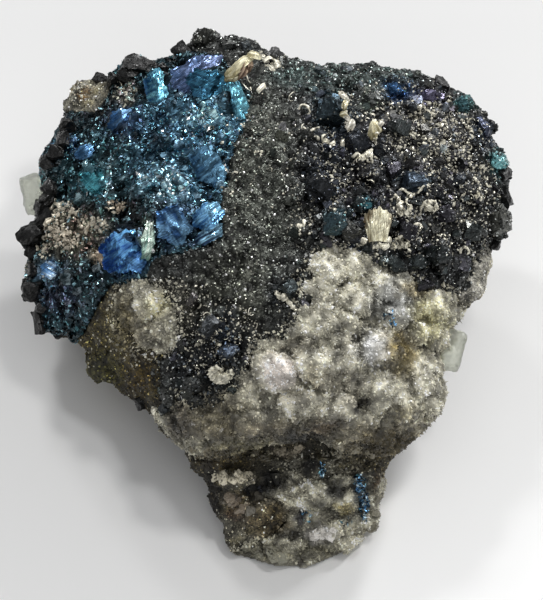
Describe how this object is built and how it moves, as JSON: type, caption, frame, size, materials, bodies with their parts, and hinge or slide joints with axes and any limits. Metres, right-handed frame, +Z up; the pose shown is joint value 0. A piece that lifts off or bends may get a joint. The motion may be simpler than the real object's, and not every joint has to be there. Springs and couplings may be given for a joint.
{
  "type": "covellite mineral specimen",
  "caption": "Heart-shaped mineral specimen on a narrow flat-cut foot, with blue covellite plates, a dark crystal crust, quartz druse and silver curls.",
  "frame": {"origin": "middle of the underside, on the surface that the specimen rests on", "axes": "+Z up, +X to the right of the show side, -Y towards the viewer of the show side"},
  "size_m": [0.0824, 0.0852, 0.0475],
  "materials": {
    "rock": "matte",
    "covellite": "satin",
    "sulphide": "satin",
    "quartz": "gloss",
    "clear": "polished",
    "silver": "satin"
  },
  "bodies": {
    "root": {"clear_crystal_left": "clear", "clear_crystal_right": "clear", "covellite_plates": "covellite", "quartz_druse": "quartz", "quartz_druse_foot": "quartz", "quartz_patch_left": "quartz", "rock": "rock", "silver_chain": "silver", "silver_cup": "silver", "silver_curl_right": "silver", "silver_fan": "silver", "silver_loop_middle": "silver", "silver_loop_right": "silver", "silver_pair": "silver", "silver_ribbon": "silver", "silver_ring_edge": "silver", "silver_ring_top": "silver", "silver_roll": "silver", "silver_s_wire": "silver", "silver_tangle_lower": "silver", "silver_tangle_upper": "silver", "silver_wire_top": "silver", "sulphide_crust": "sulphide"}
  },
  "joints": []
}
